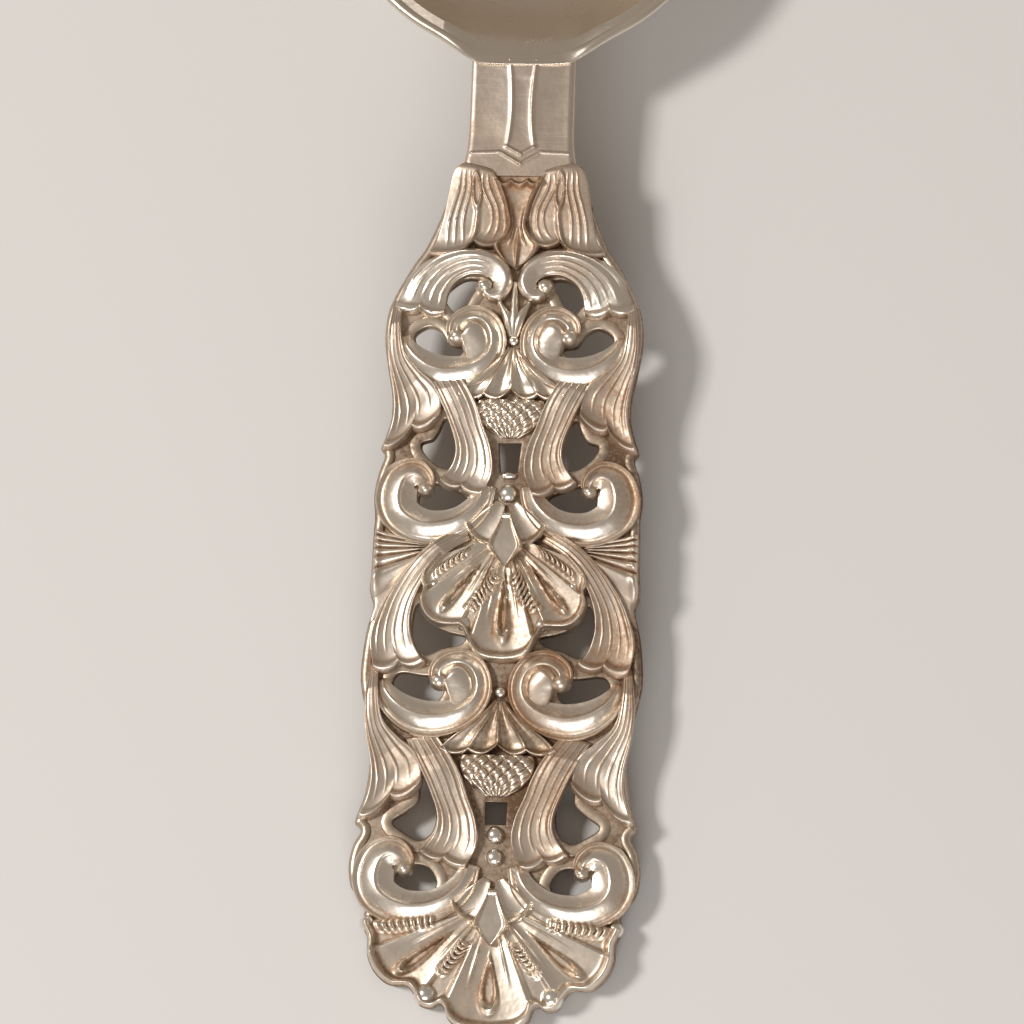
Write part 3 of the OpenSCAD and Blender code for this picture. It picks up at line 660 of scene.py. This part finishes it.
# The leaves at the handle's edges and the stalks beside the cones: chased with long lines that
# start as thin stems beside a scroll, swell, and end in scallops over a piercing.
def leaf_section(s, t):
    """A broad hollow leaf: a round stem that opens into a trough between raised sides, with thin
    lines that fan out along it, a deeper hollow near its end and a thick lip."""
    opened = np.clip((t - 0.3) / 0.35, 0, 1)
    lines = veins(s, (-0.55, -0.12, 0.3, 0.66), 0.035) * np.clip((0.9 - t) * 5, 0, 1)
    trough = 0.26 * opened * (1 - (s - 0.1) ** 2)
    sides = ridge(np.abs(s), 0.9, 0.07) * np.clip((0.9 - t) * 6, 0, 1)
    return (0.78 + 0.2 * (1 - opened) * (1 - s ** 2) - trough + 0.12 * lines + 0.14 * sides
            - 0.14 * ridge(t, 0.86, 0.07) + 0.36 * ridge(t, 0.968, 0.022)) \
        * border(s, t, 0.06, 0.04) * np.clip(0.25 + 4 * t, 0, 1)


def moved(shares, widening, drop):
    """The same edge, widened and moved towards the tip by a share of the length."""
    return (np.array(shares) * [widening, 1] - [0, drop]).tolist()


leaf_inner = [[80, 83.6], [79, 80], [75, 77], [64, 75], [51, 73.2], [48, 70]]
leaf_outer = [[85, 83.6], [88, 79], [86.5, 75.5], [82.5, 71.8], [83, 69.2], [89.5, 65.9]]
stalk_inner = [[42, 76], [30, 73.2], [23, 71], [18, 68.6], [12, 66], [10.5, 63.4], [18, 60.6]]
stalk_outer = [[61, 75], [52, 72.2], [44, 69.4], [38, 66.5], [39.5, 64.4], [49, 62.2]]
shoulder_inner = [[24, 55.6], [42, 53.6], [54.5, 51], [62, 48], [63.5, 45.4], [59, 43],
                  [51, 41.4]]
shoulder_outer = [[30, 57.3], [57, 54.2], [77, 50.2], [87, 47], [92, 43.8], [88, 40.4]]
for side in ("left", "right"):
    left = side == "left"
    for place, widening, drop in (("upper", 1, 0), ("lower", lower_width_share, 42.3)):
        leaf = between(moved(leaf_inner, widening, drop), moved(leaf_outer, widening, drop),
                       leaf_h, leaf_section, 160, 71, scallops(2, 0.85 * mm, 0.25 * mm))
        piece(place + "_hanging_leaf_" + side, [leaf], leaf_silver, left)
        stalk = between(moved(stalk_inner, widening, drop), moved(stalk_outer, widening, drop),
                        leaf_h, leaf_section, 130, 71, scallops(2, 0.45 * mm))
        piece(place + "_stalk_" + side, [stalk], leaf_silver, left)
    shoulder = between(shoulder_inner, shoulder_outer, leaf_h, leaf_section, 150, 71,
                       scallops(2, 0.6 * mm, 0.1 * mm))
    piece("shoulder_leaf_" + side, [shoulder], leaf_silver, left)


# The side flutes: a fan of reeds on each side that opens to the handle's edge, thin above and
# broad below. Filed and chased, then burnished where the edge is handled.
flute_first, flute_last = 42, 104
flute_count = 6


def edge_reach(eye, angles):
    """How far the plate's edge lies from an eye in each direction, in degrees from straight down:
    the ray is crossed with every stretch of the outline, and the nearest crossing counts. A
    stretch that the ray misses counts as 1 m away."""
    a, b = right_edge[:-1] - eye, right_edge[1:] - eye
    way = np.stack([np.sin(np.radians(angles)), -np.cos(np.radians(angles))], -1)[:, None, :]
    side_a = way[..., 0] * a[:, 1] - way[..., 1] * a[:, 0]
    side_b = way[..., 0] * b[:, 1] - way[..., 1] * b[:, 0]
    share = side_a / np.where(side_a == side_b, 1, side_a - side_b)
    place = a + share[..., None] * (b - a)
    far = (place * way).sum(-1)
    return np.where((side_a * side_b <= 0) & (far > 0), far, 1).min(axis=1)


def fan(eye, angles, reach, height, section, rows):
    """A sheet round an eye: the point at the angle a and the share t of the reach stands at
    height * section(a, t), with angles in degrees from straight down."""
    a, t = np.asarray(angles)[None, :], np.linspace(0.05, 1, rows)[:, None]
    r = np.asarray(reach)[None, :] * t
    return closed_sheet(np.stack([
        eye[0] + np.sin(np.radians(a)) * r, eye[1] - np.cos(np.radians(a)) * r,
        risen(height, section(a, t))], axis=-1))


def flute_section(a, t):
    """Reeds whose breadth grows towards the lower end of the fan, with round outer ends."""
    u = np.clip((flute_last - a) / 54, 0, 1)
    place = flute_count - flute_count * (1 - u) ** 1.9 + 0.35 * (t - 0.5) * (1 - u)
    reed = np.abs(np.sin(np.pi * place)) ** 0.75
    return (0.36 + (0.26 + 0.34 * u) * reed + 0.2 * ridge(t, 0.93, 0.05) * reed) \
        * np.clip(t * 3, 0.3, 1) * border(0 * a, t, 0.1, 0.05, 0.06)


flute_eye = (0.44 * handle_half_w, 0.5455 * handle_len)
flute_angles = np.linspace(flute_first, flute_last, 120)
for side in ("left", "right"):
    reeds = fan(flute_eye, flute_angles, edge_reach(flute_eye, flute_angles) - 0.12 * mm,
                leaf_h, flute_section, 60)
    piece("side_flutes_" + side, [reeds], leaf_silver, side == "left")


# The shells: hollow lobes with a drop chased in each, parted by ropes that end in beads. Each is
# one casting, soldered on, and the end shell makes the tip of the handle.
def shell_section(lobes, ropes):
    """The height round a shell's eye. A lobe is [middle angle, half angle, drop's start and end]:
    hollow, with a line along each side, a thick lip at its end and a raised ring round its drop.
    A rope is [first angle, turn over the way, start, end, strands]: a row of round strands."""
    def section(a, t):
        a = np.abs(a)
        height = 0.38 + 0 * a * t
        for middle, half, first, last in lobes:
            u = (a - middle) / half
            inside = np.clip((1 - np.abs(u)) * 8, 0, 1)
            centre, length = (first + last) / 2, (last - first) / 2
            width = 0.1 + 0.14 * np.clip((t - first) / (last - first), 0, 1)
            drop = np.sqrt((u / width) ** 2 + ((t - centre) / length) ** 2)
            shape = 0.3 * u ** 2 + 0.28 * ridge(drop, 1, 0.2) - 0.12 * (drop < 1) \
                + 0.1 * ridge(np.abs(u), 0.55, 0.05) * np.clip((0.7 - t) * 4, 0, 1)
            height = height + shape * inside
        for first, turn, start, end, strands in ropes:
            v = (a - first - turn * t) * t / 2.6
            along = np.clip((t - start) * 14, 0, 1) * np.clip((end - t) * 14, 0, 1)
            twist = np.abs(np.sin(np.pi * (strands * (t - start) / (end - start) + 0.3 * v ** 2)))
            height = height + 0.36 * np.exp(-v ** 4) * (0.12 + 0.88 * twist ** 0.6) * along
        lip = 0.55 * ridge(t, 0.965, 0.03)
        return (height + lip) * np.clip(0.35 + 1.6 * t, 0, 1) * border(0 * a, t, 0.1, 0.1, 0.025)
    return section


shell_silver = silver("shell silver", (0.80, 0.715, 0.615), (0.39, 0.25, 0.15), 0.36, 0.66,
                      dents=1.0)
middle_reach = curve_through([
    [0, 11.5], [8, 11.4], [13, 11], [18.5, 9.9], [23, 9.3], [28, 9.6], [35, 10.2], [42, 10.3],
    [49, 9.8], [54, 8.9], [58, 8.7], [62, 8.3], [66, 7.4], [70, 6.3]], 9) * [1, mm]
middle_reach = np.vstack([middle_reach[:0:-1] * [-1, 1], middle_reach])
piece("middle_shell",
      [fan((0, 0.563 * handle_len), middle_reach[:, 0], middle_reach[:, 1], shell_h,
           shell_section([[0, 18, 0.34, 0.8], [38, 15, 0.38, 0.82]],
                         [[5, 24, 0.33, 0.82, 9], [69, -12, 0.42, 0.86, 7]]), 130)],
      shell_silver)
end_eye = (0, 0.147 * handle_len)
end_angles = np.linspace(0, 79, 130)
end_edge = edge_reach(end_eye, end_angles) - 0.1 * mm
piece("end_shell",
      [fan(end_eye, np.concatenate([-end_angles[:0:-1], end_angles]),
           np.concatenate([end_edge[:0:-1], end_edge]), shell_h,
           shell_section([[0, 25, 0.45, 0.82], [51, 17, 0.42, 0.85]],
                         [[24, 14, 0.38, 0.74, 8], [64, 13, 0.45, 0.93, 9]]), 130)],
      shell_silver)


# The beads: small balls of silver, melted round on charcoal and soldered along the middle line
# and at the ends of the ropes, with one short bar under the upper window.
bead_r = 1.05 * mm
bead_shares = [
    [0, 0.789, 0.5], [0, 0.61, 0.8], [0, 0.382, 0.5], [0, 0.221, 0.75], [0, 0.196, 0.75],
    [0.48, 0.503, 0.55], [0.27, 0.459, 0.7], [0.43, 0.042, 1], [0.85, 0.119, 0.65]]
bead_silver = silver("bead silver", (0.88, 0.84, 0.78), (0.36, 0.26, 0.17), 0.28, 0.4)
balls = [dome(0, 0.6305 * handle_len, 0.8 * mm, 0.35 * mm, 0.55 * mm)]
for x, y, size in bead_shares:
    for side in ((1, -1) if x else (1,)):
        balls.append(dome(side * x * handle_half_w, y * handle_len, size * bead_r, size * bead_r,
                          (1.35 if x else 1) * size * bead_r))
piece("beads", balls, bead_silver)


# The strap: a flat bar forged from the bowl's heel, filed to three shallow hollows whose edges
# are raised lines, with a chevron of two bars and a line across.
strap_w = 9.4 * mm
strap_t = 1.9 * mm
strap_lap = 1.3 * mm
strap_reach = 2.6 * mm
hollow_depth = 0.1 * mm
line_h, line_half = 0.1 * mm, 0.17 * mm
bar_h, bar_half = 0.13 * mm, 0.13 * mm
bowl_h = 9.4 * mm
ball_r = (bowl_r ** 2 + bowl_h ** 2) / (2 * bowl_h)
bowl_y = spoon_len / 2 - bowl_r
heel_r = 18.4 * mm


def smooth(share):
    """A soft step from 0 to 1: share ** 2 * (3 - 2 * share)."""
    return share ** 2 * (3 - 2 * share)


def line_rise(x, y, start, end, half):
    """A round ridge along a straight stretch: exp(-(distance from it / half) ** 2)."""
    start, end = np.array(start), np.array(end)
    d = end - start
    k = np.clip(((x - start[0]) * d[0] + (y - start[1]) * d[1]) / (d @ d), 0, 1)
    return ridge(np.hypot(x - start[0] - k * d[0], y - start[1] - k * d[1]), 0, half)


def strap_sheet():
    """The bar as a grid whose columns follow its two lines: its top rounds off at both sides, is
    hollowed between and beside the lines, and carries the chevron's bars. One end laps over the
    plate, and the other follows the bowl."""
    rows, cols, panel_cols = 200, 131, 0.3
    y = np.linspace(handle_len - strap_lap, handle_len + strap_len + strap_reach, rows)[:, None]
    share = np.clip((y - handle_len) / strap_len, 0, None)
    half = strap_w / 2 * (1 + 0.07 * np.clip(1 - 3 * share, 0, 1) ** 2)
    panel = (0.19 + 0.07 * (2 * share - 1) ** 2 + 0.16 * np.clip(0.5 - share, 0, 1) ** 1.5) * half
    u = np.linspace(-1, 1, cols)[None, :]
    middle = np.clip(np.abs(u) / panel_cols, 0, 1)
    outer = np.clip((np.abs(u) - panel_cols) / (1 - panel_cols), 0, 1)
    x = np.sign(u) * (panel * middle + (half - panel) * np.sin(outer * np.pi / 2))
    y = y + 0 * x
    away = np.clip((1 - np.abs(x) / half) / 0.12, 0, 1)
    low = handle_len + 0.06 * strap_len
    fade = smooth(np.clip((y - low - 0.3 * mm) / (1.6 * mm), 0, 1))
    stop = np.clip((handle_len + strap_len - 1.5 * mm - y) / (0.4 * mm), 0, 1)
    hollow = np.where(outer > 0, 4 * outer * (1 - outer), (1 - middle ** 2) * stop / 2) * fade
    top = strap_t * (0.78 + 0.22 * np.sqrt(1 - (1 - away) ** 2)) - hollow_depth * hollow
    top = top + line_h * ridge(np.abs(x), panel, line_half) * fade
    w = strap_w / 2
    for side in (-1, 1):
        bars = [((side * 0.4 * w, low + 0.35 * mm), (0, low - 0.75 * mm)),
                ((side * 0.27 * w, low + 0.85 * mm), (0, low + 0.15 * mm)),
                ((side * 0.93 * w, low + 0.2 * mm), (side * 0.44 * w, low + 0.3 * mm))]
        for start, end in bars:
            top = top + bar_h * line_rise(x, y, start, end, bar_half)
    world = on_handle(np.stack([x, y, top], -1).reshape(-1, 3)).reshape(rows, cols, 3)
    far = bowl_y - world[..., 1]
    drawn = heel_r - np.sqrt(bowl_r ** 2 - x ** 2)
    far = far - drawn * np.clip((far / heel_r - 0.7) / 0.3, 0, 1) ** 2
    skin = ball_r - np.sqrt(ball_r ** 2 - x ** 2 - np.minimum(far, heel_r) ** 2)
    top = np.maximum(top - np.clip(world[..., 2] - skin, 0, None), 0.1 * mm)
    return closed_sheet(np.stack([x, y, top], -1), np.where(y < handle_len, seat, 0), 0.0)


strap_silver = silver("strap silver", (0.71, 0.615, 0.525), (0.38, 0.265, 0.18), 0.36, 0.5,
                      scratch=1.2, dents=0.7)
piece("strap", [strap_sheet()], strap_silver)


# The bowl: raised from a disc of silver with the hammer and planished smooth. A thread runs round
# the rim, and at the heel the wall is drawn out and dished so that the inside flows to the strap.
bowl_t = 1.1 * mm
thread_r = 0.45 * mm
inside_stop = 1.7 * mm
outside_stop = 0.9 * mm
heel_drop = bowl_h - (handle_len + strap_len) * math.sin(handle_tilt) \
    - strap_t * math.cos(handle_tilt)
dish_r = ((strap_w / 2) ** 2 + heel_drop ** 2) / (2 * heel_drop)


def lathe(profile, turns):
    """The profile [r, z] turned about the upright axis: the point at the angle a stands at
    (r * cos(a), r * sin(a), z), with one shared point at each pole."""
    a = np.linspace(0, 2 * np.pi, turns, endpoint=False)[None, :]
    r, z = profile[1:-1, :1], profile[1:-1, 1:]
    rings = np.stack([r * np.cos(a), r * np.sin(a), z + 0 * a], -1).reshape(-1, 3)
    poles = np.array([[0, 0, profile[0, 1]], [0, 0, profile[-1, 1]]])
    rows = len(profile) - 2
    index = np.arange(rows * turns).reshape(rows, turns)
    after = np.roll(index, -1, axis=1)
    walls = np.stack([index[:-1], index[1:], after[1:], after[:-1]], -1).reshape(-1, 4)
    first = np.full(turns, rows * turns)
    caps = np.vstack([np.stack([first, index[0], after[0]], -1),
                      np.stack([first + 1, after[-1], index[-1]], -1)])
    return np.vstack([rings, poles]), [walls, caps]


def bowl_sheet():
    """The section from the inner pole up the inside, over the rim's thread and down the outside,
    turned about the upright axis. At the heel the wall is drawn out towards the strap and held
    under a trough that climbs to the strap, so that the inside flows out without a thread."""
    inner_r = ball_r - bowl_t
    a = np.linspace(0, math.asin((bowl_r - inside_stop) / inner_r), 70)
    inside = np.stack([inner_r * np.sin(a), ball_r - inner_r * np.cos(a)], -1)
    turn = np.linspace(math.radians(200), math.radians(-60), 26)
    thread = np.stack([bowl_r - thread_r + thread_r * np.cos(turn),
                       bowl_h - thread_r + thread_r * np.sin(turn)], -1)
    b = np.linspace(math.asin((bowl_r - outside_stop) / ball_r), 0, 60)
    outside = np.stack([ball_r * np.sin(b), ball_r - ball_r * np.cos(b)], -1)
    points, faces = lathe(np.vstack([inside, thread, outside]), 300)
    x, y, z = points.T
    wide = strap_w / 2
    flare = smooth(np.clip((1.9 * wide - np.abs(x)) / (0.95 * wide), 0, 1))
    straight = heel_r - np.sqrt(bowl_r ** 2 - np.clip(x, -wide, wide) ** 2)
    drawn = np.where(np.abs(x) < wide, straight, 1.15 * mm * flare)
    outwards = np.clip((-y - 0.72 * bowl_r) / (0.27 * bowl_r), 0, 1)
    points[:, 1] -= drawn * outwards ** 2
    inwards = np.clip(heel_r + points[:, 1], 0, None)
    dish = dish_r - np.sqrt(dish_r ** 2 - np.clip(x, -1.5 * wide, 1.5 * wide) ** 2)
    trough = bowl_h - heel_drop + 0.24 * mm - 0.4 * inwards \
        + dish * np.clip(inwards / (1.5 * mm), 0.2, 1)
    soft = 0.12 * mm + 0.1 * inwards
    held = -soft * np.logaddexp(-z / soft, -trough / soft)
    near = smooth(np.clip((1.5 * wide - np.abs(x)) / (0.6 * wide), 0, 1))
    deep = np.clip((-y - 9 * mm) / (3 * mm), 0, 1)
    points[:, 2] = z + (held - z) * near * deep
    points[:, 1] += bowl_y
    return points, faces, np.zeros(len(points))


bowl_silver = silver("bowl silver", (0.79, 0.71, 0.615), (0.46, 0.34, 0.24), 0.29, 0.2,
                     scratch=1.4, dents=0.6)
piece("bowl", [bowl_sheet()], bowl_silver)


# The studio: a plain pale floor, a soft lamp on the left that throws the shadow to the right, a
# broad soft window beyond the handle's tip, and an even dim room.
floor_half = 1.5
ground = bpy.data.meshes.new("floor")
ground.from_pydata([(x * floor_half, y * floor_half, 0)
                    for x, y in ((-1, -1), (1, -1), (1, 1), (-1, 1))], [], [(0, 1, 2, 3)])
floor_paint = Finish("floor paint")
floor_surface = floor_paint.node("ShaderNodeBsdfPrincipled", {}, {
    "Base Color": (0.74, 0.73, 0.72, 1), "Roughness": 0.9})
floor_paint.node("ShaderNodeOutputMaterial", {}, {"Surface": floor_surface})
ground.materials.append(floor_paint.material)
floor = bpy.data.objects.new("floor", ground)
bpy.context.scene.collection.objects.link(floor)
floor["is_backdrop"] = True


def turned(right, up, back):
    """The turn whose axes are the three given directions."""
    return Matrix(np.stack([right, up, back], 1).tolist()).to_quaternion()


def lamp(name, place, target, size, power, colour):
    """A rectangular lamp at a place, turned towards a target."""
    light = bpy.data.lights.new(name, "AREA")
    light.shape, light.size, light.size_y = "RECTANGLE", size[0], size[1]
    light.energy, light.color = power, colour
    made = bpy.data.objects.new(name, light)
    made.location = place
    back = np.array(place) - np.array(target)
    back = back / np.linalg.norm(back)
    right = np.cross([0, 0, 1], back)
    right /= np.linalg.norm(right)
    made.rotation_mode = "QUATERNION"
    made.rotation_quaternion = turned(right, np.cross(back, right), back)
    bpy.context.scene.collection.objects.link(made)


middle = (0, 0, 0.004)
lamp("left_lamp", (-0.57, 0.02, 0.72), middle, (0.16, 0.16), 4.9, (1, 0.97, 0.93))
lamp("window", (0.02, -0.7, 0.3), middle, (0.44, 0.23), 2.5, (0.97, 0.98, 1))
room = bpy.data.worlds.new("room")
room.use_nodes = True
room.node_tree.nodes["Background"].inputs["Color"].default_value = (0.32, 0.285, 0.25, 1)
room.node_tree.nodes["Background"].inputs["Strength"].default_value = 1.0
bpy.context.scene.world = room


# The camera: over the handle, a little to the right and towards the tip, as the photograph was
# taken, with the frame cutting the bowl.
view_azimuth, view_height, view_roll = math.radians(20), math.radians(74), math.radians(2.6)
view_span = 90.1 * mm
view_range = 300 * mm
sensor_w = 36
aim = on_handle([[0.5 * mm, 45.5 * mm, 2 * mm]])[0]
back = np.array([math.sin(view_azimuth) * math.cos(view_height),
                 -math.cos(view_azimuth) * math.cos(view_height), math.sin(view_height)])
up = np.array([0, 1, 0]) - back[1] * back
up /= np.linalg.norm(up)
right = np.cross(up, back)
c, s = math.cos(view_roll), math.sin(view_roll)
lens = bpy.data.cameras.new("camera")
lens.sensor_width = sensor_w
lens.lens = sensor_w * view_range / view_span
lens.clip_start, lens.clip_end = 0.01, 10
camera = bpy.data.objects.new("camera", lens)
camera.location = aim + back * view_range
camera.rotation_mode = "QUATERNION"
camera.rotation_quaternion = turned(c * right + s * up, c * up - s * right, back)
bpy.context.scene.collection.objects.link(camera)
bpy.context.scene.camera = camera
bpy.context.scene.view_settings.view_transform = "Standard"

low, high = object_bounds()
